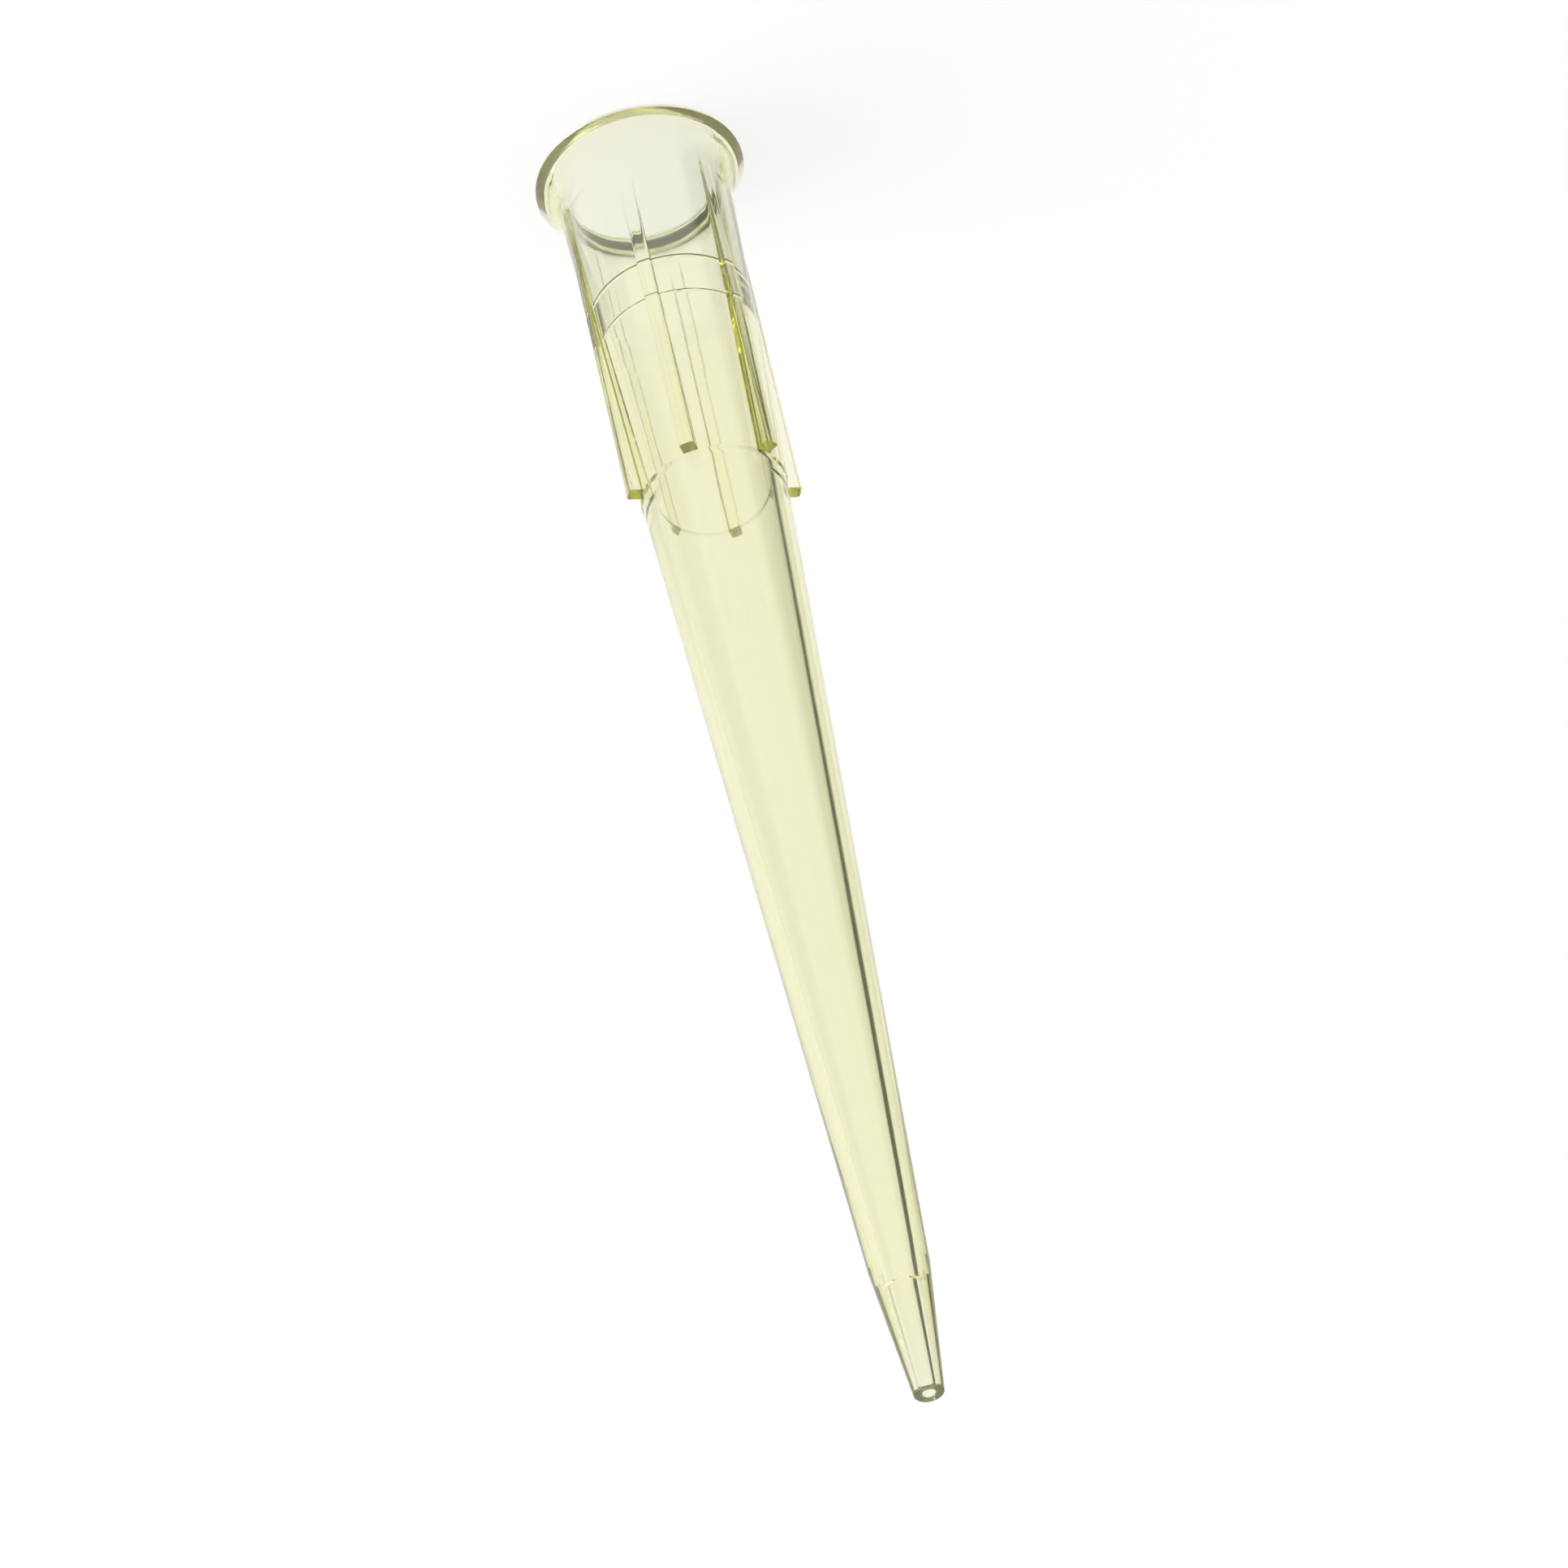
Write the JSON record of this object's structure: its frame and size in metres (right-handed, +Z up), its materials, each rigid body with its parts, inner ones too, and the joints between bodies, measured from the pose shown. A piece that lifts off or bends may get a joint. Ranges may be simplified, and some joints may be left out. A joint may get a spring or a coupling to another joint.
{
  "type": "pipette tip",
  "caption": "Disposable pipette tip: a long hollow cone with a flared mouth, a ribbed hub, a sealing land inside and a fine dispensing point.",
  "frame": {"origin": "centre of the mouth's rim, on the flat ring that the tip stands on", "axes": "+Z up the tip's axis, from the mouth to the dispensing end; the first rib lies on +X"},
  "size_m": [0.0072, 0.0072, 0.05],
  "materials": {
    "tip_polypropylene": "translucent pale yellow polypropylene, smooth from the mould"
  },
  "bodies": {
    "root": {"pipette_tip": "tip_polypropylene"}
  },
  "joints": []
}
